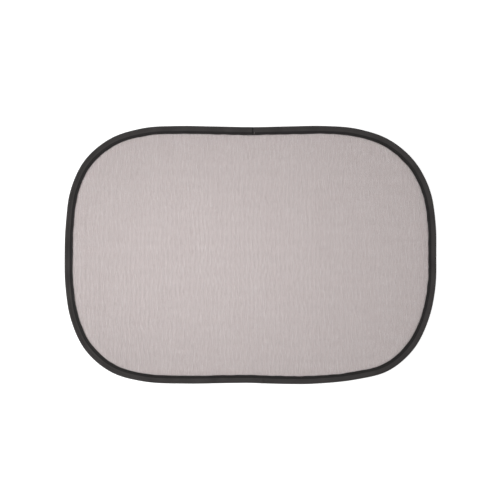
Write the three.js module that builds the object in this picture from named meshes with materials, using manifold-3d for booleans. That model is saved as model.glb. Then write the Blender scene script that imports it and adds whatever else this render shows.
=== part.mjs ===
// A pop-up sunshade for a car's side window, in millimetres.
// It lies flat with its back down: +X is its length, +Y its height on the window and +Z its front.
// A spring-steel wire is bent into a hoop with rounded corners and its ends meet in a sleeve. A tape
// folded over the hoop is sewn through a knitted mesh and a clear film that clings to the glass.

import * as THREE from "three";
import { mergeGeometries, mergeVertices } from "three/addons/utils/BufferGeometryUtils.js";
import Module from "manifold-3d";

const wasm = await Module();
wasm.setup();

// Overall size, over the outside of the binding
const LENGTH = 440;
const HEIGHT = 305.5;

// Hoop wire, and the rolled sleeve that joins its ends near the middle of the lower edge
const WIRE_DIAMETER = 1.4;
const WIRE_END_GAP = 1;
const SLEEVE_X = 13.5;
const SLEEVE_LENGTH = 20;
const SLEEVE_WALL = 0.3;
const SLEEVE_SEAM = 0.2;
const CRIMP_GAP = 0.1;

// Edge binding: a woven tape folded over the hoop. At the top its tail laps over its start.
const BINDING_REACH = 9.5;
const TAPE_THICKNESS = 0.5;
const POCKET_CLEARANCE = 0.25;
const REST_STRIP_WIDTH = 0.8;
const SHOULDER_ANGLE = 138;
const TAIL_X = 2.8;
const LAP_LENGTH = 15;
const LAP_RAMP = 4;
const LAP_RISE = 0.35;
const TAIL_EDGE = 0.3;

// Window panel: the knitted mesh lies on the clear film, and both are tucked into the folded tape
const MESH_THICKNESS = 0.5;
const FILM_THICKNESS = 0.2;
const PANEL_TUCK = 5;

// Wales: the fine upright ribs of the knit, clear of the binding
const WALE_PITCH = 4;
const WALE_WIDTH = 1.8;
const WALE_HEIGHT = 0.25;
const WALE_MARGIN = 1;

// Lockstitch seam round the binding, with one thread on each face, sunk into the tape
const SEAM_INSET = 1.8;
const SEAM_DEPTH = 0.25;
const SEAM_CLEARANCE = 0.15;
const THREAD_WIDTH = 0.4;
const THREAD_HEIGHT = 0.35;

// How finely round things are cut into flats
const RIM_STEPS = 96;
const WIRE_SIDES = 8;
const POCKET_SIDES = 6;

// The rim's outer edge passes through these places, given as shares of half the length and half the
// height, from the right-hand end by way of the top. Both long edges dip a little at the middle, and
// the lower one is slightly kinked over the sleeve.
const RIM_SHAPE = [
  [1.0, 0.0], [0.996, 0.253], [0.965, 0.506], [0.88, 0.732], [0.742, 0.897], [0.57, 0.979],
  [0.4, 1.0], [0.185, 0.996], [0.014, 0.991], [-0.185, 0.996], [-0.4, 1.0], [-0.573, 0.984],
  [-0.75, 0.905], [-0.889, 0.739], [-0.967, 0.507], [-0.993, 0.252], [-1.0, 0.0],
  [-0.995, -0.253], [-0.965, -0.505], [-0.888, -0.738], [-0.75, -0.907], [-0.571, -0.981],
  [-0.341, -0.997], [-0.136, -0.993], [0.0, -0.9915], [0.068, -0.995], [0.205, -1.0],
  [0.341, -0.998], [0.563, -0.966], [0.742, -0.897], [0.878, -0.73], [0.958, -0.502],
  [0.995, -0.253],
];

// Sizes that follow from the ones above. Rises are heights over the middle of the rim's thickness.
const WIRE_RADIUS = WIRE_DIAMETER / 2;
const BORE_RADIUS = WIRE_RADIUS + CRIMP_GAP;
const SLEEVE_RADIUS = BORE_RADIUS + SLEEVE_WALL;
const POCKET_RADIUS = SLEEVE_RADIUS + POCKET_CLEARANCE;
const FOLD_RADIUS = POCKET_RADIUS + TAPE_THICKNESS;
const MIDDLE_Z = FOLD_RADIUS;
const FLAP_INNER_RISE = (MESH_THICKNESS + FILM_THICKNESS) / 2;
const FLAP_OUTER_RISE = FLAP_INNER_RISE + TAPE_THICKNESS;
const PANEL_EDGE = BINDING_REACH - PANEL_TUCK;
const FILM_Z = MIDDLE_Z - FLAP_INNER_RISE;
const MESH_Z = FILM_Z + FILM_THICKNESS;
const SEAM_PLACE = BINDING_REACH - SEAM_INSET;
const SEAM_FLOOR_RISE = FLAP_OUTER_RISE - SEAM_DEPTH;

// The rim's outer edge as a closed curve. crossing() says how far along it, from 0 to 1, an upright
// line at x crosses the upper or the lower edge.
const rim = new THREE.CatmullRomCurve3(
  RIM_SHAPE.map(([x, y]) => new THREE.Vector3((x * LENGTH) / 2, (y * HEIGHT) / 2, 0)),
  true,
);
rim.arcLengthDivisions = 4000;
const RIM_LENGTH = rim.getLength();

function crossing(x, upper) {
  let near = upper ? 0 : 0.5;
  let far = near + 0.5;
  for (let halving = 0; halving < 40; halving += 1) {
    const middle = (near + far) / 2;
    const pointX = rim.getPointAt(middle).x;
    const passed = upper ? pointX < x : pointX > x;
    if (passed) {
      far = middle;
    } else {
      near = middle;
    }
  }
  return near;
}

// Stations are the places along the rim where sections are set. Even steps make the hoop, and the
// lap, the ends of the wire and the ends of the sleeve have stations of their own.
const TAIL = crossing(TAIL_X, true);
const BEFORE_TAIL = TAIL - TAIL_EDGE / RIM_LENGTH;
const LAP_FULL = TAIL + (LAP_LENGTH - LAP_RAMP) / RIM_LENGTH;
const LAP_END = TAIL + LAP_LENGTH / RIM_LENGTH;
const JOIN = crossing(SLEEVE_X, false);
const WIRE_START = JOIN + WIRE_END_GAP / 2 / RIM_LENGTH;
const WIRE_STOP = JOIN - WIRE_END_GAP / 2 / RIM_LENGTH;
const SLEEVE_START = JOIN - SLEEVE_LENGTH / 2 / RIM_LENGTH;
const SLEEVE_STOP = JOIN + SLEEVE_LENGTH / 2 / RIM_LENGTH;

function station(place) {
  const point = rim.getPointAt(place);
  const tangent = rim.getTangentAt(place);
  return { place, point, inward: new THREE.Vector2(-tangent.y, tangent.x) };
}

const ownPlaces = [
  BEFORE_TAIL, TAIL, LAP_FULL, LAP_END, SLEEVE_START, WIRE_STOP, WIRE_START, SLEEVE_STOP,
];
const halfStep = 1 / RIM_STEPS / 2;
const evenPlaces = Array.from({ length: RIM_STEPS }, (_, i) => i / RIM_STEPS)
  .filter((place) => ownPlaces.every((own) => Math.abs(place - own) > halfStep));
const stations = [...ownPlaces, ...evenPlaces].sort((a, b) => a - b).map(station);

// How far the lap lifts the binding's front at a station
function lapLift(at) {
  if (at.place < TAIL || at.place >= LAP_END) {
    return 0;
  }
  return LAP_RISE * Math.min(1, (LAP_END - at.place) / (LAP_END - LAP_FULL));
}

// A point of a section is its inset from the rim's outer edge, and its height
function placePoint(at, [inset, z]) {
  return [at.point.x + at.inward.x * inset, at.point.y + at.inward.y * inset, z];
}

function closedGeometry(positions, triangles) {
  const geometry = new THREE.BufferGeometry();
  geometry.setAttribute("position", new THREE.Float32BufferAttribute(positions.flat(), 3));
  geometry.setIndex(triangles.flat());
  geometry.computeVertexNormals();
  return geometry;
}

// Sweeps a section along stations. sectionAt() lists it for one station, with as many points each
// time, anticlockwise where insets grow to the right. An open sweep gets a flat cap at each end.
function sweep(sectionAt, along, closed) {
  const sections = along.map(sectionAt);
  const count = sections[0].length;
  const positions = along.flatMap((at, i) => sections[i].map((point) => placePoint(at, point)));
  const triangles = [];
  const spans = closed ? along.length : along.length - 1;
  for (let i = 0; i < spans; i += 1) {
    const here = i * count;
    const next = ((i + 1) % along.length) * count;
    for (let k = 0; k < count; k += 1) {
      const after = (k + 1) % count;
      triangles.push([here + k, next + after, next + k]);
      triangles.push([here + k, here + after, next + after]);
    }
  }
  if (!closed) {
    const last = (along.length - 1) * count;
    const outline = sections[0].map(([inset, z]) => new THREE.Vector2(inset, z));
    for (const [a, b, c] of THREE.ShapeUtils.triangulateShape(outline, [])) {
      triangles.push([c, b, a]);
      triangles.push([last + a, last + b, last + c]);
    }
  }
  return closedGeometry(positions, triangles);
}

// Points on a circle about the wire. Angles are in degrees, 0 towards the panel and 90 to the front.
function onCircle(radius, angle) {
  const turn = THREE.MathUtils.degToRad(angle);
  return [FOLD_RADIUS + radius * Math.cos(turn), MIDDLE_Z + radius * Math.sin(turn)];
}

// Corners of an arc's flats, which clear the circle from outside
function arcAround(radius, from, to, sides) {
  const step = (to - from) / sides;
  const corner = radius / Math.cos(THREE.MathUtils.degToRad(step / 2));
  return Array.from({ length: sides + 1 }, (_, i) => onCircle(corner, from + step * i));
}

// The angle at which a straight line from the panel's edge, at a given rise, meets a circle
function meetingAngle(radius, rise) {
  const across = PANEL_EDGE - FOLD_RADIUS;
  const toCircle = Math.acos(radius / Math.hypot(across, rise));
  return THREE.MathUtils.radToDeg(Math.atan2(rise, across) + toCircle);
}

// Edge binding: the flaps lie flat on the panel, part over the wire and meet round it in the fold.
// A narrow strip under the wire is pressed flat, which the shade rests on.
function bindingSection(lift) {
  const grooveHalf = THREAD_WIDTH / 2 + SEAM_CLEARANCE;
  const [foldInset, foldZ] = onCircle(FOLD_RADIUS, meetingAngle(FOLD_RADIUS, FLAP_OUTER_RISE));
  const [shoulderInset, shoulderZ] = onCircle(FOLD_RADIUS, SHOULDER_ANGLE);
  const outside = [
    [BINDING_REACH, FLAP_OUTER_RISE],
    [SEAM_PLACE + grooveHalf, FLAP_OUTER_RISE],
    [SEAM_PLACE + grooveHalf, SEAM_FLOOR_RISE],
    [SEAM_PLACE - grooveHalf, SEAM_FLOOR_RISE],
    [SEAM_PLACE - grooveHalf, FLAP_OUTER_RISE],
    [PANEL_EDGE, FLAP_OUTER_RISE],
    [foldInset, foldZ - MIDDLE_Z],
    [FOLD_RADIUS + REST_STRIP_WIDTH / 2, FOLD_RADIUS],
    [FOLD_RADIUS - REST_STRIP_WIDTH / 2, FOLD_RADIUS],
    [shoulderInset, shoulderZ - MIDDLE_Z],
  ];
  const front = outside.map(([inset, rise]) => [inset, MIDDLE_Z + rise + lift]);
  const back = outside.map(([inset, rise]) => [inset, MIDDLE_Z - rise]).reverse();
  const pocketAngle = meetingAngle(POCKET_RADIUS, FLAP_INNER_RISE);
  const inside = [
    [BINDING_REACH, MIDDLE_Z - FLAP_INNER_RISE],
    [PANEL_EDGE, MIDDLE_Z - FLAP_INNER_RISE],
    ...arcAround(POCKET_RADIUS, 360 - pocketAngle, pocketAngle, POCKET_SIDES),
    [PANEL_EDGE, MIDDLE_Z + FLAP_INNER_RISE],
    [BINDING_REACH, MIDDLE_Z + FLAP_INNER_RISE],
  ];
  return [...front, [0, MIDDLE_Z], ...back, ...inside];
}

function edgeBinding() {
  return sweep((at) => bindingSection(lapLift(at)), stations, true);
}

// Hoop wire: it runs from one side of the join right round to the other
function frameWire() {
  const corners = Array.from({ length: WIRE_SIDES }, (_, i) => (360 * i) / WIRE_SIDES);
  const section = corners.map((angle) => onCircle(WIRE_RADIUS, angle));
  const fromJoin = stations.filter((at) => at.place >= WIRE_START);
  const toJoin = stations.filter((at) => at.place <= WIRE_STOP);
  return sweep(() => section, [...fromJoin, ...toJoin], false);
}

// Sleeve: a strip rolled round both ends of the wire, with its open seam towards the panel
function wireSleeve() {
  const seam = THREE.MathUtils.radToDeg(SLEEVE_SEAM / 2 / BORE_RADIUS);
  const outside = arcAround(SLEEVE_RADIUS, seam, 360 - seam, WIRE_SIDES);
  const bore = arcAround(BORE_RADIUS, 360 - seam, seam, WIRE_SIDES);
  const along = stations.filter((at) => at.place >= SLEEVE_START && at.place <= SLEEVE_STOP);
  return sweep(() => [...outside, ...bore], along, false);
}

// Seam threads: rings on the floor of the seam's groove, one on each face of the binding
function needleThread() {
  const near = SEAM_PLACE - THREAD_WIDTH / 2;
  const far = SEAM_PLACE + THREAD_WIDTH / 2;
  return sweep((at) => {
    const low = MIDDLE_Z + SEAM_FLOOR_RISE + lapLift(at);
    const high = low + THREAD_HEIGHT;
    return [[near, low], [far, low], [far, high], [near, high]];
  }, stations, true);
}

function bobbinThread() {
  const near = SEAM_PLACE - THREAD_WIDTH / 2;
  const far = SEAM_PLACE + THREAD_WIDTH / 2;
  const high = MIDDLE_Z - SEAM_FLOOR_RISE;
  const low = high - THREAD_HEIGHT;
  return sweep(() => [[near, low], [far, low], [far, high], [near, high]], stations, true);
}

// A flat plate with the rim's outline moved in by an inset
function plate(inset, thickness, z) {
  const outline = stations.map((at) => new THREE.Vector2(...placePoint(at, [inset, 0])));
  const options = { depth: thickness, bevelEnabled: false };
  return new THREE.ExtrudeGeometry(new THREE.Shape(outline), options).translate(0, 0, z);
}

function toSolid(geometry) {
  const bare = geometry.clone();
  bare.deleteAttribute("normal");
  bare.deleteAttribute("uv");
  const merged = mergeVertices(bare);
  const vertProperties = new Float32Array(merged.attributes.position.array);
  const triVerts = new Uint32Array(merged.index.array);
  return new wasm.Manifold(new wasm.Mesh({ numProp: 3, vertProperties, triVerts }));
}

function toGeometry(solid) {
  const mesh = solid.getMesh();
  const geometry = new THREE.BufferGeometry();
  geometry.setAttribute("position", new THREE.BufferAttribute(mesh.vertProperties, 3));
  geometry.setIndex(new THREE.BufferAttribute(mesh.triVerts, 1));
  geometry.computeVertexNormals();
  return geometry;
}

// Wales: low ribs side by side across the whole length. Each has its foot in the middle of the mesh.
function wales() {
  const half = WALE_WIDTH / 2;
  const foot = MESH_THICKNESS / 2;
  const section = new THREE.Shape([
    new THREE.Vector2(-half, -foot),
    new THREE.Vector2(half, -foot),
    new THREE.Vector2(half, 0),
    new THREE.Vector2(half / 2, WALE_HEIGHT),
    new THREE.Vector2(-half / 2, WALE_HEIGHT),
    new THREE.Vector2(-half, 0),
  ]);
  const reach = Math.floor(LENGTH / 2 / WALE_PITCH);
  const ribs = [];
  for (let i = -reach; i <= reach; i += 1) {
    const rib = new THREE.ExtrudeGeometry(section, { depth: HEIGHT, bevelEnabled: false });
    rib.rotateX(Math.PI / 2);
    rib.translate(i * WALE_PITCH, HEIGHT / 2, MESH_Z + MESH_THICKNESS);
    ribs.push(rib);
  }
  return toSolid(mergeGeometries(ribs));
}

// Mesh panel: a thin sheet whose wales stop short of the binding
function meshPanel() {
  const sheet = toSolid(plate(PANEL_EDGE, MESH_THICKNESS, MESH_Z));
  const field = toSolid(plate(BINDING_REACH + WALE_MARGIN, MESH_THICKNESS + WALE_HEIGHT, MESH_Z));
  return toGeometry(sheet.add(wales().intersect(field)));
}

function clingFilm() {
  return plate(PANEL_EDGE, FILM_THICKNESS, FILM_Z);
}

// Finishes
const knit = new THREE.MeshStandardMaterial({ color: 0xc2b8b6, roughness: 0.9 });
const film = new THREE.MeshStandardMaterial({
  color: 0xf2f4f4,
  roughness: 0.1,
  transparent: true,
  opacity: 0.25,
});
const steel = new THREE.MeshStandardMaterial({ color: 0x9a9c9f, roughness: 0.35, metalness: 1 });
const tape = new THREE.MeshStandardMaterial({ color: 0x3e3b3a, roughness: 0.85 });
const thread = new THREE.MeshStandardMaterial({ color: 0x2a2626, roughness: 0.7 });

const pieces = [
  ["mesh_panel", meshPanel(), knit],
  ["cling_film", clingFilm(), film],
  ["frame_wire", frameWire(), steel],
  ["wire_sleeve", wireSleeve(), steel],
  ["edge_binding", edgeBinding(), tape],
  ["needle_thread", needleThread(), thread],
  ["bobbin_thread", bobbinThread(), thread],
];

const sunshade = new THREE.Group();
for (const [name, geometry, material] of pieces) {
  const mesh = new THREE.Mesh(geometry, material.clone());
  mesh.name = name;
  sunshade.add(mesh);
}

export default sunshade;
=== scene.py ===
"""A pop-up sunshade for a car's side window, lying on its back under a camera straight above it.

Sizes are in metres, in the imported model's frame: +X along the shade's length, +Y up the window and
+Z out of its front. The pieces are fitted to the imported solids' boxes and to the film's outline.
"""

import math

import bpy
import numpy as np
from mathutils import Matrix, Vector

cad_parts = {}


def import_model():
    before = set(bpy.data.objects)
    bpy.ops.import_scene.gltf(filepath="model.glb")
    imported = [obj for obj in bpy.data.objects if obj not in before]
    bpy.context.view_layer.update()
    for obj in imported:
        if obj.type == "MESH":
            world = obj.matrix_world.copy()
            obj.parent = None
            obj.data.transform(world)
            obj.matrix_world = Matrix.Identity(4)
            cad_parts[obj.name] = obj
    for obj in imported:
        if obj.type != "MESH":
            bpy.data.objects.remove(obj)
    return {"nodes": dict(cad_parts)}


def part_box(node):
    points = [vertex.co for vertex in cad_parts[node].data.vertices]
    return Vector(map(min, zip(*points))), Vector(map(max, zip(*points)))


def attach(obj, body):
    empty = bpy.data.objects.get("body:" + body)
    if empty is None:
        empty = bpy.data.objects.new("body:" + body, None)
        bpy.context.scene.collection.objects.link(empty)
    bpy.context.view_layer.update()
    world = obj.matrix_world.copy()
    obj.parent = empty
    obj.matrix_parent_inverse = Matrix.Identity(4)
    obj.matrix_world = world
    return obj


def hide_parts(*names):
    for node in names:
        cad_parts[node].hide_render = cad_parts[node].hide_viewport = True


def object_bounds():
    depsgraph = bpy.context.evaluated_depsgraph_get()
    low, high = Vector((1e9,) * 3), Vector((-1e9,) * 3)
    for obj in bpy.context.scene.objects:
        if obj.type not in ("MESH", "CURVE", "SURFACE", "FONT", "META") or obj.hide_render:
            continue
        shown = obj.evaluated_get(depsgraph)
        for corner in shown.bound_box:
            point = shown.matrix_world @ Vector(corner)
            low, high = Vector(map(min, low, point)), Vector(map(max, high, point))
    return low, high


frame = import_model()
cad_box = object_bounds()
node_box = {name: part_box(name) for name in frame["nodes"]}

MM = 0.001

# Picture: its width in pixels, and the shade's length and middle in it, as in the photograph
FRAME_PIXELS = 500
SHADE_PIXELS = 371.9
SHADE_CENTRE = (250.45, 254.97)
LENS = 85.0
SENSOR = 36.0

# Binding's section: distances in from the rim's outer edge, rises over its middle, angles in degrees
BINDING_REACH = 9.82 * MM
CORNER_REACH = 0.24 * MM
EDGE_WAVER = 0.12 * MM
TAPE_THICKNESS = 0.5 * MM
FOLD_RADIUS = 1.85 * MM
POCKET_RADIUS = 1.35 * MM
POCKET_MOUTH_ANGLES = (-62, -110, 180, 110, 62)
POCKET_SWELL = 0.03
FLAP_INNER_RISE = 0.35 * MM
FLAP_START = 4.5 * MM
FLAP_LEVEL = 4.9 * MM
LIP_ROUNDING = 0.12 * MM
MIDDLE_Z = FOLD_RADIUS

# Places across the tape's outer face: the fold's angles, and how many lie on each further stretch
FOLD_ANGLES = (15, 30, 45, 60, 75)
PLACES_ON_SLOPE = 9
PLACES_AT_SEAM = 5
PLACES_ON_LIP = 3

# Seam
SEAM_PLACE = 7.7 * MM
SEAM_SPAN = 0.6 * MM
SEAM_WIDTH = 0.5 * MM
SEAM_DEPTH = 0.25 * MM
PUCKER_LEAST = 0.55
STITCHES = 498
STEPS_PER_STITCH = 4
STITCH_GAP = 0.35 * MM
THREAD_DIAMETER = 0.5 * MM
THREAD_SINK = 0.16 * MM
THREAD_DIVE = 0.3 * MM
THREAD_SLANT = 0.06 * MM
THREAD_TAPER = 0.75
THREAD_POINTS = 7

# Lap of the tape's tail at the top, and the tack beside its cut end
TAIL_X = 2.8 * MM
LAP_LENGTH = 15 * MM
LAP_RAMP = 4 * MM
LAP_RISE = 0.35 * MM
TAIL_TUCK = 0.25 * MM
TAIL_TUCK_WIDTH = 0.8 * MM
TACK_OFFSET = 2.1 * MM
TACK_PLACE = 7.0 * MM
TACK_LENGTH = 1.5 * MM
TACK_RADIUS = 0.42 * MM
TACK_LEAN = 0.15 * MM
TACK_DIVE = 1.5 * THREAD_DIVE
TACK_POINTS = 9

# Crumpled stretch of the tape over the wire's sleeve
CRUMPLE_DEPTH = 0.35 * MM
CRUMPLE_REACH = 9 * MM
CRUMPLE_LAST = 7 * MM

# Knitted mesh: wales are its upright yarns, and wefts its level ones
MESH_TUCK = 6.0 * MM
WALE_PITCH = 1.52 * MM
WALE_WIDTH = 1.06 * MM
WALE_HEIGHT = 0.26 * MM
WALE_POINTS = 86
WALE_DRIFT = 0.24 * MM
DRIFT_STRETCH = 0.4
WALE_STRAY = 0.08 * MM
STRAY_SQUEEZE = 4
WEFT_PITCH = 1.0 * MM
WEFT_WIDTH = 0.60 * MM
WEFT_HEIGHT = 0.2 * MM
WEFT_POINTS = 24
WEFT_DRIFT = 0.1 * MM
YARN_SWELL = 0.05
YARN_CLEARANCE = 0.04 * MM

# Cling film
FILM_SIDES = 240
FILM_RINGS = 24
FILM_RIPPLE = 0.12 * MM
RIPPLE_PERIOD = 0.5
RIPPLE_COUNT = 5
FILM_LOW, FILM_HIGH = (corner[2] for corner in node_box["cling_film"])

# Unevenness: a seed, and the lengths of the shortest and longest waves
EDGE_WAVES = (3, 14 * MM, 90 * MM)
SWELL_WAVES = (5, 20 * MM, 150 * MM)
CRUMPLE_WAVES = (7, 4 * MM, 9 * MM)
SLANT_WAVES = (11, 4 * MM, 40 * MM)
WALE_DRIFT_WAVES = (21, 10 * MM, 40 * MM)
WEFT_DRIFT_WAVES = (22, 12 * MM, 60 * MM)
WALE_SWELL_WAVES = (23, 3.5 * MM, 12 * MM)
WEFT_SWELL_WAVES = (24, 5 * MM, 20 * MM)
STRAY_WAVES = (25, 7 * MM, 20 * MM)
RIPPLE_WAVES = ((31, 60 * MM, 200 * MM), (37, 60 * MM, 200 * MM))

# Colours
TAPE_COLOUR = (0.0388, 0.0352, 0.0345)
THREAD_COLOUR = (0.0200, 0.0170, 0.0168)
TACK_COLOUR = (0.130, 0.120, 0.118)
KNIT_COLOUR = (0.604, 0.529, 0.522)
FILM_COLOUR = (0.90, 0.86, 0.85)
STEEL_COLOUR = (0.46, 0.46, 0.47)

# Part of a texture's range over which a colour changes
SHADED_RANGE = (0.3, 0.7)

# Painted shade in the tape's crevices: dark out to the first distance, in mm, clear from the second,
# and the painted shade's depth
SEAM_PAINTED_SHADE = (0.9, 1.8, 0.3)
TAIL_PAINTED_SHADE = (0.45, 0.95, 0.25)

# Light: the lamp's power is in watts, and its spread in degrees
FLOOR_HALF = 8.0
FLOOR_ALBEDO = 0.9
FLOOR_GLOW = 0.54
WORLD_LIGHT = 0.71
LAMP_POWER = 0.27
LAMP_SIZE = 0.3
LAMP_SPREAD = 26
LAMP_PLACE = (-0.9, 0.0, 0.9)
LAMP_AIM = (-0.07, 0.0, 0.0)


# Curves and unevenness
def smooth(t):
    """A share that eases from 0 to 1, and stays there beyond its ends."""
    t = np.clip(t, 0.0, 1.0)
    return t * t * (3 - 2 * t)


class Waver:
    """Gentle seeded unevenness along a closed line: a sum of sines that repeats over its length."""

    def __init__(self, waves, period, count=12):
        seed, shortest, longest = waves
        draw = np.random.default_rng(seed)
        fewest, most = max(1, round(period / longest)), round(period / shortest)
        self.rates = 2 * math.pi * draw.integers(fewest, most + 1, count) / period
        self.phases = draw.uniform(0, 2 * math.pi, count)
        self.gain = math.sqrt(2 / count)

    def __call__(self, s):
        angles = np.multiply.outer(np.asarray(s, float), self.rates) + self.phases
        return self.gain * np.sin(angles).sum(axis=-1)


class Drift:
    """A smooth seeded field over the plane: a sum of waves in every direction."""

    def __init__(self, waves, count=30):
        seed, shortest, longest = waves
        draw = np.random.default_rng(seed)
        rates = 2 * math.pi / draw.uniform(shortest, longest, count)
        headings = draw.uniform(0, 2 * math.pi, count)
        self.rates_x, self.rates_y = rates * np.cos(headings), rates * np.sin(headings)
        self.phases = draw.uniform(0, 2 * math.pi, count)
        self.gain = math.sqrt(2 / count)

    def __call__(self, x, y):
        x, y = np.broadcast_arrays(np.asarray(x, float), np.asarray(y, float))
        angles = np.multiply.outer(x, self.rates_x) + np.multiply.outer(y, self.rates_y) + self.phases
        return self.gain * np.sin(angles).sum(axis=-1)


def closed_spline(points, count, steps=50):
    """A smooth closed curve through points, as count places at even steps along it."""
    n = len(points)
    following = np.roll(points, -1, axis=0)
    step = np.linalg.norm(following - points, axis=1)
    before = np.roll(step, 1)
    rows = np.arange(n)
    matrix = np.zeros((n, n))
    matrix[rows, rows] = 2 * (before + step)
    matrix[rows, (rows - 1) % n] = before
    matrix[rows, (rows + 1) % n] = step
    slope = (following - points) / step[:, None]
    bend = np.linalg.solve(matrix, 6 * (slope - np.roll(slope, 1, axis=0)))
    bend_next = np.roll(bend, -1, axis=0)
    squared = (step**2)[:, None] / 6
    fine = []
    for b in np.arange(steps) / steps:
        a = 1 - b
        straight = a * points + b * following
        fine.append(straight + ((a**3 - a) * bend + (b**3 - b) * bend_next) * squared)
    line = np.stack(fine, axis=1).reshape(-1, 2)
    line = np.vstack([line, line[:1]])
    along = path_lengths(line)
    at = np.arange(count) * along[-1] / count
    return np.stack([np.interp(at, along, line[:, k]) for k in (0, 1)], axis=1)


def path_lengths(line):
    """How far along a line each of its points lies."""
    return np.concatenate([[0], np.cumsum(np.linalg.norm(np.diff(line, axis=0), axis=1))])


def film_outline():
    """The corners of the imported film's edge, anticlockwise from the +X end."""
    vertices = frame["nodes"]["cling_film"].data.vertices
    corners = {(round(v.co.x, 7), round(v.co.y, 7)) for v in vertices}
    return np.array(sorted(corners, key=lambda c: math.atan2(c[1], c[0]) % (2 * math.pi)))


# Rim
class Rim:
    """The rim's outer edge: places, inward directions and how far along each one lies."""

    def __init__(self, count):
        film = closed_spline(film_outline(), count)
        ahead = np.roll(film, -1, axis=0) - np.roll(film, 1, axis=0)
        ahead /= np.linalg.norm(ahead, axis=1)[:, None]
        self.inward = np.stack([-ahead[:, 1], ahead[:, 0]], axis=1)
        film_inset = node_box["cling_film"][0][0] - node_box["edge_binding"][0][0]
        self.edge = film - self.inward * film_inset
        around = path_lengths(np.vstack([self.edge, self.edge[:1]]))
        self.along, self.length = around[:-1], around[-1]
        self.count = count

    def inset(self, distance):
        """The outline moved in by a distance."""
        return self.edge + self.inward * distance

    def places(self, along, inset):
        """Flat places at distances along the rim and in from its edge."""
        columns = []
        for k in (0, 1):
            edge = np.interp(along, self.along, self.edge[:, k], period=self.length)
            inward = np.interp(along, self.along, self.inward[:, k], period=self.length)
            columns.append(edge + inset * inward)
        return np.stack(columns, axis=1)

    def crossing(self, x, upper):
        """How far along the rim its upper or lower edge crosses x."""
        side = np.flatnonzero((self.edge[:, 1] > 0) == upper)
        return self.along[side[np.argmin(np.abs(self.edge[side, 0] - x))]]


rim = Rim(STITCHES * STEPS_PER_STITCH)
STITCH_PITCH = rim.length / STITCHES
TAIL = rim.crossing(TAIL_X, True)
SLEEVE = rim.crossing(sum(corner[0] for corner in node_box["wire_sleeve"]) / 2, False)


def lap_lift(along):
    """How far the tail's lap lifts the tape's front, with the tape tucked in where the tail ends."""
    past = (along - TAIL) % rim.length
    fade = smooth((LAP_LENGTH - past) / LAP_RAMP)
    lifted = np.where(past < LAP_LENGTH, LAP_RISE * fade, 0.0)
    return np.where(rim.length - past < TAIL_TUCK_WIDTH, -TAIL_TUCK, lifted)


def flap_rise(inset, groove):
    """Height of the tape's outer face over the rim's middle, at a distance in from the edge."""
    fold = np.sqrt(np.maximum(0.0, FOLD_RADIUS**2 - (FOLD_RADIUS - inset) ** 2))
    level = FLAP_INNER_RISE + TAPE_THICKNESS
    fall = smooth((inset - FOLD_RADIUS) / (FLAP_LEVEL - FOLD_RADIUS))
    sloping = FOLD_RADIUS + (level - FOLD_RADIUS) * fall
    seam = groove * np.exp(-(((inset - SEAM_PLACE) / SEAM_WIDTH) ** 2))
    return np.where(inset < FOLD_RADIUS, fold, sloping) - seam


def tape_path(inset, fold_steps=20, flap_steps=60):
    """Length of the tape's outer face from the fold's outermost line to a distance in."""
    fold = FOLD_RADIUS * (1 - np.cos(np.linspace(0, math.pi / 2, fold_steps)))
    flap = np.linspace(FOLD_RADIUS, inset, flap_steps)[1:]
    insets = np.concatenate([fold, flap])
    return path_lengths(np.column_stack([insets, flap_rise(insets, 0.0)]))[-1]


# Meshes
def link(name, vertices, faces, uvs=None, smooth_faces=True):
    """A mesh object from its points and its faces' corner lists, with a UV for each point."""
    mesh = bpy.data.meshes.new(name)
    mesh.from_pydata([tuple(v) for v in vertices], [], [tuple(f) for f in faces])
    mesh.update()
    mesh.polygons.foreach_set("use_smooth", [smooth_faces] * len(mesh.polygons))
    if uvs is not None:
        layer = mesh.uv_layers.new(name="weave")
        corners = np.zeros(len(mesh.loops), np.int32)
        mesh.loops.foreach_get("vertex_index", corners)
        layer.data.foreach_set("uv", np.asarray(uvs, np.float32)[corners].ravel())
    piece = bpy.data.objects.new(name, mesh)
    bpy.context.scene.collection.objects.link(piece)
    return piece


def ring_faces(count, across):
    """Quads of a closed tube of count sections with across points each."""
    i, k = np.meshgrid(np.arange(count), np.arange(across), indexing="ij")
    here, after = i * across, ((i + 1) % count) * across
    k_next = (k + 1) % across
    quads = np.stack([here + k, here + k_next, after + k_next, after + k], axis=-1)
    return quads.reshape(-1, 4)


def tube(middle, radii, sides=8):
    """A round tube along points, capped at both ends, with its faces and UVs."""
    ahead = np.gradient(middle, axis=0)
    ahead /= np.linalg.norm(ahead, axis=1)[:, None]
    aside = np.cross(ahead, (0.0, 0.0, 1.0))
    aside /= np.linalg.norm(aside, axis=1)[:, None]
    over = np.cross(aside, ahead)
    turns = np.arange(sides) * 2 * math.pi / sides
    spokes = aside[:, None] * np.cos(turns)[:, None] + over[:, None] * np.sin(turns)[:, None]
    vertices = middle[:, None] + radii[:, None, None] * spokes
    rings = len(middle)
    r, k = np.meshgrid(np.arange(rings - 1), np.arange(sides), indexing="ij")
    here, beside = r * sides + k, r * sides + (k + 1) % sides
    quads = np.stack([here, here + sides, beside + sides, beside], axis=-1).reshape(-1, 4)
    last_cap = (rings - 1) * sides + np.arange(sides)[::-1]
    faces = [*quads, np.arange(sides), last_cap]
    around = np.arange(sides) * math.pi * THREAD_DIAMETER / sides
    places = np.meshgrid(path_lengths(middle), around, indexing="ij")
    uvs = np.stack(places, axis=-1).reshape(-1, 2) / MM
    return vertices.reshape(-1, 3), faces, uvs


def joined_tubes(name, tubes):
    """One mesh object from many tubes."""
    vertices, faces, uvs, count = [], [], [], 0
    for points, sides, places in tubes:
        vertices.append(points)
        faces += [side + count for side in sides]
        uvs.append(places)
        count += len(points)
    return link(name, np.vstack(vertices), faces, np.vstack(uvs))


def finish_piece(piece, material, slot, *stands_for):
    """A piece's material and body, with the solids that it stands for hidden. slot is not used."""
    piece.data.materials.append(material)
    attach(piece, "root")
    if stands_for:
        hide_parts(*stands_for)
    return piece


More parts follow.
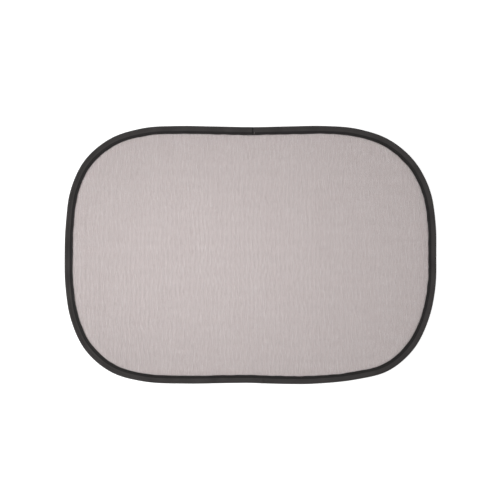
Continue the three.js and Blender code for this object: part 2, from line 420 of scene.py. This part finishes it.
# Material nodes
def new_material(name):
    """A material, its nodes and links, and its shader."""
    material = bpy.data.materials.new(name)
    material.use_nodes = True
    nodes, links = material.node_tree.nodes, material.node_tree.links
    return material, nodes, links, nodes["Principled BSDF"]


def woven(nodes):
    """The weave's coordinates, in mm: along the rim, and round the tape from its outermost line."""
    start = nodes.new("ShaderNodeUVMap")
    start.uv_map = "weave"
    return start.outputs["UV"]


def placed(nodes, links, scale=(1, 1, 1)):
    """The object's coordinates, in metres, scaled."""
    start = nodes.new("ShaderNodeTexCoord")
    mapping = nodes.new("ShaderNodeMapping")
    mapping.inputs["Scale"].default_value = scale
    links.new(start.outputs["Object"], mapping.inputs["Vector"])
    return mapping.outputs["Vector"]


def noise(nodes, links, vector, scale=1.0, detail=2.0):
    """Soft random patches, one patch to about 1 / scale."""
    texture = nodes.new("ShaderNodeTexNoise")
    texture.inputs["Scale"].default_value = scale
    texture.inputs["Detail"].default_value = detail
    links.new(vector, texture.inputs["Vector"])
    return texture.outputs["Fac"]


def ribs(nodes, links, vector, direction, scale, distortion=0.0):
    """Even bands across a direction, slightly disturbed. They repeat every 0.314 / scale."""
    texture = nodes.new("ShaderNodeTexWave")
    texture.wave_type, texture.bands_direction, texture.wave_profile = "BANDS", direction, "SIN"
    texture.inputs["Scale"].default_value = scale
    texture.inputs["Distortion"].default_value = distortion
    links.new(vector, texture.inputs["Vector"])
    return texture.outputs["Fac"]


def maths(nodes, links, operation, a, b):
    """One operation on two values, each of them a number or another node's output."""
    node = nodes.new("ShaderNodeMath")
    node.operation = operation
    for socket, value in zip(node.inputs, (a, b)):
        if isinstance(value, (int, float)):
            socket.default_value = value
        else:
            links.new(value, socket)
    return node.outputs["Value"]


def magnitude(nodes, links, value):
    """A value without its sign."""
    return maths(nodes, links, "ABSOLUTE", value, 0.0)


def weighted(nodes, links, a, a_share, b, b_share):
    """The sum of two values, each multiplied by its share."""
    first = maths(nodes, links, "MULTIPLY", a, a_share)
    second = maths(nodes, links, "MULTIPLY", b, b_share)
    return maths(nodes, links, "ADD", first, second)


def eased(nodes, links, value, start, end, low):
    """A value that eases from low at start to 1 at end."""
    node = nodes.new("ShaderNodeMapRange")
    node.interpolation_type = "SMOOTHSTEP"
    for socket, number in (("From Min", start), ("From Max", end), ("To Min", low), ("To Max", 1.0)):
        node.inputs[socket].default_value = number
    links.new(value, node.inputs["Value"])
    return node.outputs["Result"]


def shaded(nodes, links, factor, colour, spread):
    """A colour that runs from darker to lighter by a share, over the middle of a factor's range."""
    ramp = nodes.new("ShaderNodeValToRGB")
    low, high = ramp.color_ramp.elements
    low.position, high.position = SHADED_RANGE
    low.color = (*(c * (1 - spread) for c in colour), 1)
    high.color = (*(c * (1 + spread) for c in colour), 1)
    links.new(factor, ramp.inputs["Fac"])
    return ramp.outputs["Color"]


def bump(nodes, links, shader, height, strength, distance):
    """Relief on a shader, where a height of 1 stands for the distance."""
    node = nodes.new("ShaderNodeBump")
    node.inputs["Strength"].default_value = strength
    node.inputs["Distance"].default_value = distance
    links.new(height, node.inputs["Height"])
    links.new(node.outputs["Normal"], shader.inputs["Normal"])


def set_surface(shader, **values):
    """Sockets of a shader, named with underscores for spaces."""
    for name, value in values.items():
        shader.inputs[name.replace("_", " ")].default_value = value


# Materials
def painted_crevice_shade(nodes, links, weave):
    """Painted shade on the tape: its colour darker in the seam's groove on both faces, and where the
    tail ends.
    """
    parts = nodes.new("ShaderNodeSeparateXYZ")
    links.new(weave, parts.inputs["Vector"])
    along, around = parts.outputs["X"], parts.outputs["Y"]
    from_fold = magnitude(nodes, links, around)
    from_seam = maths(nodes, links, "SUBTRACT", from_fold, tape_path(SEAM_PLACE) / MM)
    seam = eased(nodes, links, magnitude(nodes, links, from_seam), *SEAM_PAINTED_SHADE)
    from_tail = maths(nodes, links, "SUBTRACT", along, TAIL / MM)
    tail = eased(nodes, links, magnitude(nodes, links, from_tail), *TAIL_PAINTED_SHADE)
    back = maths(nodes, links, "LESS_THAN", around, 0.0)
    return maths(nodes, links, "MULTIPLY", seam, maths(nodes, links, "MAXIMUM", tail, back))


def tape_material():
    """Woven tape: fine ribs across it, with a looser cross thread, and a slight change of shade."""
    material, nodes, links, shader = new_material("woven_tape")
    weave = woven(nodes)
    across = ribs(nodes, links, weave, "X", scale=0.33, distortion=1.2)
    lengthwise = ribs(nodes, links, weave, "Y", scale=0.5, distortion=0.8)
    height = weighted(nodes, links, across, 1.0, lengthwise, 0.6)
    clouds = noise(nodes, links, placed(nodes, links), scale=55.0, detail=3.0)
    shade = weighted(nodes, links, height, 0.25, clouds, 0.6)
    # The tape's colour, darkened by painted shade in the seam's groove and at the tail's cut end
    with_painted_shade = nodes.new("ShaderNodeVectorMath")
    with_painted_shade.operation = "SCALE"
    links.new(shaded(nodes, links, shade, TAPE_COLOUR, spread=0.33), with_painted_shade.inputs[0])
    links.new(painted_crevice_shade(nodes, links, weave), with_painted_shade.inputs["Scale"])
    links.new(with_painted_shade.outputs["Vector"], shader.inputs["Base Color"])
    set_surface(shader, Roughness=0.85, Specular_IOR_Level=0.25, Sheen_Weight=0.08, Sheen_Roughness=0.4)
    bump(nodes, links, shader, height, strength=0.55, distance=0.12 * MM)
    return material


def thread_material(name, colour):
    """Twisted sewing thread: slanting plies along each stitch."""
    material, nodes, links, shader = new_material(name)
    plies = ribs(nodes, links, woven(nodes), "DIAGONAL", scale=1.4)
    links.new(shaded(nodes, links, plies, colour, spread=0.35), shader.inputs["Base Color"])
    set_surface(shader, Roughness=0.6, Specular_IOR_Level=0.35)
    bump(nodes, links, shader, plies, strength=0.5, distance=0.06 * MM)
    return material


def knit_material():
    """Polyester yarn: soft and matt, with the small loops of its courses, a little uneven in shade."""
    material, nodes, links, shader = new_material("knit_yarn")
    patches = noise(nodes, links, placed(nodes, links, scale=(600, 170, 600)), detail=3.0)
    fibres = noise(nodes, links, placed(nodes, links, scale=(9000, 2500, 9000)))
    loops = ribs(nodes, links, placed(nodes, links), "Y", scale=330, distortion=3.0)
    shade = weighted(nodes, links, patches, 0.6, loops, 0.4)
    links.new(shaded(nodes, links, shade, KNIT_COLOUR, spread=0.1), shader.inputs["Base Color"])
    set_surface(shader, Roughness=0.8, Specular_IOR_Level=0.3, Sheen_Weight=0.1, Sheen_Roughness=0.5)
    relief = maths(nodes, links, "ADD", fibres, loops)
    bump(nodes, links, shader, relief, strength=0.5, distance=0.08 * MM)
    return material


def film_material():
    """Clear soft film: nearly invisible, with a gentle ripple that shows in its gloss."""
    material, nodes, links, shader = new_material("clear_film")
    ripple = noise(nodes, links, placed(nodes, links, scale=(14, 14, 14)))
    links.new(shaded(nodes, links, ripple, FILM_COLOUR, spread=0.02), shader.inputs["Base Color"])
    set_surface(shader, Roughness=0.12, IOR=1.45, Alpha=0.12)
    bump(nodes, links, shader, ripple, strength=0.3, distance=1.5 * MM)
    return material


def steel_material():
    """Drawn spring wire: fine lines along it and a dull shine."""
    material, nodes, links, shader = new_material("spring_wire")
    lines = noise(nodes, links, placed(nodes, links, scale=(900, 900, 3000)))
    links.new(shaded(nodes, links, lines, STEEL_COLOUR, spread=0.08), shader.inputs["Base Color"])
    set_surface(shader, Metallic=1.0, Roughness=0.35)
    bump(nodes, links, shader, lines, strength=0.2, distance=0.02 * MM)
    return material


TAPE, KNIT, FILM, STEEL = tape_material(), knit_material(), film_material(), steel_material()
THREAD = thread_material("sewing_thread", THREAD_COLOUR)
TACK = thread_material("tack_thread", TACK_COLOUR)


# Edge binding
def across_tape():
    """Places across the tape's outer face, from the fold to its free edge, closest at the seam."""
    fold = FOLD_RADIUS * (1 - np.cos(np.radians(FOLD_ANGLES)))
    slope = np.linspace(FOLD_RADIUS, SEAM_PLACE - 2 * SEAM_SPAN, PLACES_ON_SLOPE)
    seam = SEAM_PLACE + SEAM_SPAN * np.linspace(-1, 1, PLACES_AT_SEAM)
    lip = np.linspace(SEAM_PLACE + 2 * SEAM_SPAN, BINDING_REACH - 2 * LIP_ROUNDING, PLACES_ON_LIP)
    return np.concatenate([fold, slope, seam, lip])


def tape_reach():
    """How much further in than its usual reach the tape's free edge comes: most round the corners."""
    heading = np.arctan2(rim.inward[:, 1], rim.inward[:, 0])
    waver = Waver(EDGE_WAVES, rim.length)(rim.along)
    return EDGE_WAVER * waver - CORNER_REACH * np.cos(4 * heading)


def edge_share(insets):
    """How far a place across the tape goes along with its free edge, from 0 to 1."""
    return smooth((insets - FLAP_LEVEL) / (BINDING_REACH - FLAP_LEVEL))


def pocket_swell(s, insets):
    """How much fuller the tape stands over the wire, from place to place."""
    fuller = POCKET_SWELL * np.maximum(Waver(SWELL_WAVES, rim.length)(s), 0)
    return np.where(insets < FLAP_START, 1 + fuller, 1.0)


def crumple(s, insets):
    """Small folds in the tape's front over the wire's sleeve."""
    near = np.exp(-(((s - SLEEVE) / CRUMPLE_REACH) ** 2))
    clear_of_seam = smooth((CRUMPLE_LAST - insets) / (CRUMPLE_LAST - FLAP_START))
    return CRUMPLE_DEPTH * near * clear_of_seam * Drift(CRUMPLE_WAVES)(s, insets)


def everywhere(values):
    """A row of values across the tape, the same at each of the rim's sections."""
    return np.tile(values, (rim.count, 1))


def edge_binding():
    """The folded tape: puckered along its seam, a little uneven, with its tail lapped at the top."""
    s = rim.along[:, None]
    front = across_tape()[None, :]
    # The back, which is seen less, has half as many places
    back = front[:, 1::2]
    # 1 at each needle hole, and 0 midway between two
    needle = 0.5 + 0.5 * np.cos(2 * math.pi * np.arange(rim.count)[:, None] / STEPS_PER_STITCH)
    groove = SEAM_DEPTH * (PUCKER_LEAST + (1 - PUCKER_LEAST) * needle**3)
    lift = lap_lift(rim.along)[:, None]
    further = tape_reach()[:, None]

    # Outer face, from the front's free edge round the fold to the back's
    front_z = MIDDLE_Z + flap_rise(front, groove) * pocket_swell(s, front) + lift + crumple(s, front)
    back_z = MIDDLE_Z - flap_rise(back, groove)
    front_u = front + further * edge_share(front)
    back_u = back + further * edge_share(back)
    insets = [front_u[:, ::-1], everywhere([0.0]), back_u]
    heights = [front_z[:, ::-1], everywhere([MIDDLE_Z]), back_z]

    # Lips and inner face, back to the front's free edge
    lip_top = FLAP_INNER_RISE + TAPE_THICKNESS - LIP_ROUNDING
    lip = np.array([lip_top, FLAP_INNER_RISE + LIP_ROUNDING / 2])
    mouth = np.radians(POCKET_MOUTH_ANGLES)
    inner_u = np.concatenate([[FLAP_START], FOLD_RADIUS + POCKET_RADIUS * np.cos(mouth), [FLAP_START]])
    inner_z = np.concatenate([[-FLAP_INNER_RISE], POCKET_RADIUS * np.sin(mouth), [FLAP_INNER_RISE]])
    free_edge = np.repeat(BINDING_REACH + further, len(lip), axis=1)
    front_lip = MIDDLE_Z + lip[::-1] + lift * np.array([0, 1])
    insets += [free_edge, everywhere(inner_u), free_edge]
    heights += [everywhere(MIDDLE_Z - lip), everywhere(MIDDLE_Z + inner_z), front_lip]

    # Points, and the weave's coordinates from the first section's girth
    insets, heights = np.concatenate(insets, axis=1), np.concatenate(heights, axis=1)
    flat = rim.edge[:, None, :] + rim.inward[:, None, :] * insets[:, :, None]
    points = np.concatenate([flat, heights[:, :, None]], axis=2).reshape(-1, 3)
    girth = path_lengths(np.column_stack([insets[0], heights[0]]))
    around = tape_path(front[0, -1]) - girth
    uvs = np.stack(np.broadcast_arrays(s, around[None, :]), axis=-1).reshape(-1, 2) / MM
    piece = link("woven_binding", points, ring_faces(rim.count, insets.shape[1]), uvs)
    return finish_piece(piece, TAPE, "binding_tape", "edge_binding")


edge_binding()


# Seam
def stitches(name, side):
    """One face's row of stitches: short plump ends that dive into the tape, with a gap between."""
    t = np.linspace(-1, 1, THREAD_POINTS)
    half = (STITCH_PITCH - STITCH_GAP) / 2
    places = (np.arange(STITCHES) + 0.5) * STITCH_PITCH
    slants = THREAD_SLANT * Waver(SLANT_WAVES, rim.length)(places)
    lifts = lap_lift(places) if side > 0 else np.zeros(STITCHES)
    radii = THREAD_DIAMETER / 2 * np.sqrt(1 - THREAD_TAPER * t**4)
    rise = FLAP_INNER_RISE + TAPE_THICKNESS - THREAD_SINK - THREAD_DIVE * t**4
    row = []
    for place, slant, lift in zip(places, slants, lifts):
        flat = rim.places(place + t * half, SEAM_PLACE + slant * t)
        row.append(tube(np.column_stack([flat, MIDDLE_Z + side * rise + lift]), radii))
    return joined_tubes(name, row)


def tail_tack():
    """A pale tack of thread that holds the tape's tail down beside its cut end."""
    t = np.linspace(-1, 1, TACK_POINTS)
    flat = rim.places(TAIL - TACK_OFFSET + TACK_LEAN * t, TACK_PLACE + t * TACK_LENGTH / 2)
    rise = FLAP_INNER_RISE + TAPE_THICKNESS - TACK_DIVE * t**4
    middle = np.column_stack([flat, MIDDLE_Z + rise])
    return joined_tubes("tail_tack", [tube(middle, np.full(len(t), TACK_RADIUS))])


finish_piece(stitches("front_stitches", 1), THREAD, "seam_thread", "needle_thread")
finish_piece(stitches("back_stitches", -1), THREAD, "seam_thread", "bobbin_thread")
finish_piece(tail_tack(), TACK, "seam_thread")


# Window panel
def span(outline, axis, at):
    """Lowest and highest place where an outline crosses a line, on the other axis."""
    values = outline[:, axis] - at
    following = np.roll(values, -1)
    crossed = np.flatnonzero(values * following <= 0)
    share = values[crossed] / (values[crossed] - following[crossed])
    other = outline[:, 1 - axis]
    places = other[crossed] * (1 - share) + np.roll(other, -1)[crossed] * share
    return places.min(), places.max()


def strands(lines, widths, height, middle):
    """Closed three-cornered yarns. lines is (yarns, points, 2) and widths (yarns, points)."""
    yarns, points, _ = lines.shape
    ahead = np.gradient(lines, axis=1)
    ahead /= np.linalg.norm(ahead, axis=2)[:, :, None]
    aside = np.stack([-ahead[:, :, 1], ahead[:, :, 0]], axis=2)
    # The section's corners, as shares of its width and height
    corners = [(0.5, -0.5), (0.0, 0.5), (-0.5, -0.5)]
    rows = []
    for across, up in corners:
        flat = lines + aside * (across * widths)[:, :, None]
        rows.append(np.concatenate([flat, np.full((yarns, points, 1), middle + up * height)], axis=2))
    vertices = np.stack(rows, axis=2).reshape(-1, 3)
    n = len(corners)
    i, j, k = np.meshgrid(np.arange(yarns), np.arange(points - 1), np.arange(n), indexing="ij")
    here, beside = (i * points + j) * n + k, (i * points + j) * n + (k + 1) % n
    quads = np.stack([here, here + n, beside + n, beside], axis=-1).reshape(-1, 4)
    start = np.arange(yarns)[:, None] * points * n
    first_caps, last_caps = start + np.arange(n), start + points * n - 1 - np.arange(n)
    return vertices, [*quads, *first_caps, *last_caps]


def yarn_places(reach, pitch):
    """Even places of yarns from one side of the panel to the other, clear of both."""
    return np.arange(-reach + pitch, reach - pitch / 2, pitch)


def wales(outline):
    """Upright yarns that drift together, stray a little on their own, and swell unevenly."""
    drift, stray, swell = Drift(WALE_DRIFT_WAVES), Drift(STRAY_WAVES), Drift(WALE_SWELL_WAVES)
    lines = []
    for x in yarn_places(outline[:, 0].max(), WALE_PITCH):
        y = np.linspace(*span(outline, 0, x), WALE_POINTS)
        shift = WALE_DRIFT * drift(DRIFT_STRETCH * x, y) + WALE_STRAY * stray(STRAY_SQUEEZE * x, y)
        lines.append(np.stack([x + shift, y], axis=1))
    lines = np.array(lines)
    widths = WALE_WIDTH * (1 + YARN_SWELL * swell(lines[:, :, 0], lines[:, :, 1]))
    middle = FILM_HIGH + YARN_CLEARANCE + WEFT_HEIGHT / 4 + WALE_HEIGHT / 2
    return strands(lines, widths, WALE_HEIGHT, middle)


def wefts(outline):
    """Level yarns that the wales are knitted round."""
    drift, swell = Drift(WEFT_DRIFT_WAVES), Drift(WEFT_SWELL_WAVES)
    lines = []
    for y in yarn_places(outline[:, 1].max(), WEFT_PITCH):
        x = np.linspace(*span(outline, 1, y), WEFT_POINTS)
        lines.append(np.stack([x, y + WEFT_DRIFT * drift(x, y)], axis=1))
    lines = np.array(lines)
    widths = WEFT_WIDTH * (1 + YARN_SWELL * swell(lines[:, :, 0], lines[:, :, 1]))
    return strands(lines, widths, WEFT_HEIGHT, FILM_HIGH + YARN_CLEARANCE + WEFT_HEIGHT / 2)


def knit_panel():
    """The mesh: wales over wefts, with open holes between them."""
    outline = rim.inset(MESH_TUCK)
    upright_points, upright_faces = wales(outline)
    level_points, level_faces = wefts(outline)
    faces = upright_faces + [face + len(upright_points) for face in level_faces]
    piece = link("knitted_mesh", np.vstack([upright_points, level_points]), faces)
    return finish_piece(piece, KNIT, "mesh_knit", "mesh_panel")


def cling_film(outline):
    """A closed thin plate, gridded inside its outline so that it can ripple slightly."""
    centre = outline.mean(axis=0)
    shares = np.arange(FILM_RINGS, 0, -1) / FILM_RINGS
    flat = np.vstack([*(centre + (outline - centre) * share for share in shares), centre])
    inside = smooth(1 - np.append(np.repeat(shares, len(outline)), 0))
    ripple_x, ripple_y = (Waver(waves, RIPPLE_PERIOD, RIPPLE_COUNT) for waves in RIPPLE_WAVES)
    wave = inside * (ripple_x(flat[:, 0]) + ripple_y(flat[:, 1])) / 2
    sag = FILM_RIPPLE * np.maximum(wave, 0)
    n, count = len(outline), len(flat)
    around = np.arange(n)
    beside = (around + 1) % n
    faces = []
    for start in range(0, (FILM_RINGS - 1) * n, n):
        faces += [(start + a, start + b, start + n + b, start + n + a) for a, b in zip(around, beside)]
    inner = (FILM_RINGS - 1) * n
    faces += [(inner + a, inner + b, count - 1) for a, b in zip(around, beside)]
    upper = [tuple(count + corner for corner in face) for face in faces]
    lower = [face[::-1] for face in faces]
    wall = [(a, b, count + b, count + a) for a, b in zip(around, beside)]
    low = np.column_stack([flat, FILM_LOW - sag])
    high = np.column_stack([flat, FILM_HIGH - sag])
    piece = link("clear_cling_film", np.vstack([low, high]), upper + lower + wall)
    return finish_piece(piece, FILM, "clear_film", "cling_film")


film_edge = closed_spline(film_outline(), FILM_SIDES)
mesh_piece = knit_panel()
film_piece = cling_film(film_edge)

for name in ("frame_wire", "wire_sleeve"):
    for slot in frame["nodes"][name].material_slots:
        slot.material = STEEL


# Studio
def seen_rays(nodes, links):
    """1 for the rays that show the background: camera, glossy and transmission rays."""
    rays = nodes.new("ShaderNodeLightPath").outputs
    direct = maths(nodes, links, "MAXIMUM", rays["Is Camera Ray"], rays["Is Glossy Ray"])
    return maths(nodes, links, "MAXIMUM", direct, rays["Is Transmission Ray"])


def floor():
    """A wide pale floor that shows as white to the camera, in gloss and through clear things."""
    corners = [(x * FLOOR_HALF, y * FLOOR_HALF, 0) for x, y in ((-1, -1), (1, -1), (1, 1), (-1, 1))]
    piece = link("studio_floor", corners, [(0, 1, 2, 3)], smooth_faces=False)
    material, nodes, links, shader = new_material("floor_white")
    nodes.remove(shader)
    diffuse = nodes.new("ShaderNodeBsdfDiffuse")
    diffuse.inputs["Color"].default_value = (FLOOR_ALBEDO, FLOOR_ALBEDO, FLOOR_ALBEDO, 1)
    glow = nodes.new("ShaderNodeEmission")
    seen = seen_rays(nodes, links)
    links.new(maths(nodes, links, "MULTIPLY", seen, FLOOR_GLOW), glow.inputs["Strength"])
    both = nodes.new("ShaderNodeAddShader")
    links.new(diffuse.outputs["BSDF"], both.inputs[0])
    links.new(glow.outputs["Emission"], both.inputs[1])
    links.new(both.outputs["Shader"], nodes["Material Output"].inputs["Surface"])
    piece.data.materials.append(material)


def world():
    """Even soft light from all round, which shows as white."""
    studio = bpy.data.worlds.new("studio")
    bpy.context.scene.world = studio
    studio.use_nodes = True
    nodes, links = studio.node_tree.nodes, studio.node_tree.links
    background = nodes["Background"]
    background.inputs["Color"].default_value = (1, 1, 1, 1)
    extra = maths(nodes, links, "MULTIPLY", seen_rays(nodes, links), 1 - WORLD_LIGHT)
    links.new(maths(nodes, links, "ADD", extra, WORLD_LIGHT), background.inputs["Strength"])


def lamp():
    """A soft lamp on the left, whose light falls off towards the right."""
    light = bpy.data.lights.new("window_light", "AREA")
    light.shape = "SQUARE"
    light.size = LAMP_SIZE
    light.energy = LAMP_POWER
    light.spread = math.radians(LAMP_SPREAD)
    piece = bpy.data.objects.new("window_light", light)
    bpy.context.scene.collection.objects.link(piece)
    piece.location = LAMP_PLACE
    piece.rotation_euler = (Vector(LAMP_AIM) - Vector(LAMP_PLACE)).to_track_quat("-Z", "Y").to_euler()


def camera():
    """Straight above the shade, with the picture's middle where the photograph has it."""
    low, high = cad_box
    pixel = (high[0] - low[0]) / SHADE_PIXELS
    middle = FRAME_PIXELS / 2
    data = bpy.data.cameras.new("camera")
    data.lens, data.sensor_width = LENS, SENSOR
    piece = bpy.data.objects.new("camera", data)
    bpy.context.scene.collection.objects.link(piece)
    piece.location = (
        (low[0] + high[0]) / 2 + (middle - SHADE_CENTRE[0]) * pixel,
        (low[1] + high[1]) / 2 + (SHADE_CENTRE[1] - middle) * pixel,
        MIDDLE_Z + FRAME_PIXELS * pixel * LENS / SENSOR,
    )
    bpy.context.scene.camera = piece


floor()
world()
lamp()
camera()
bpy.context.scene.view_settings.view_transform = "Standard"
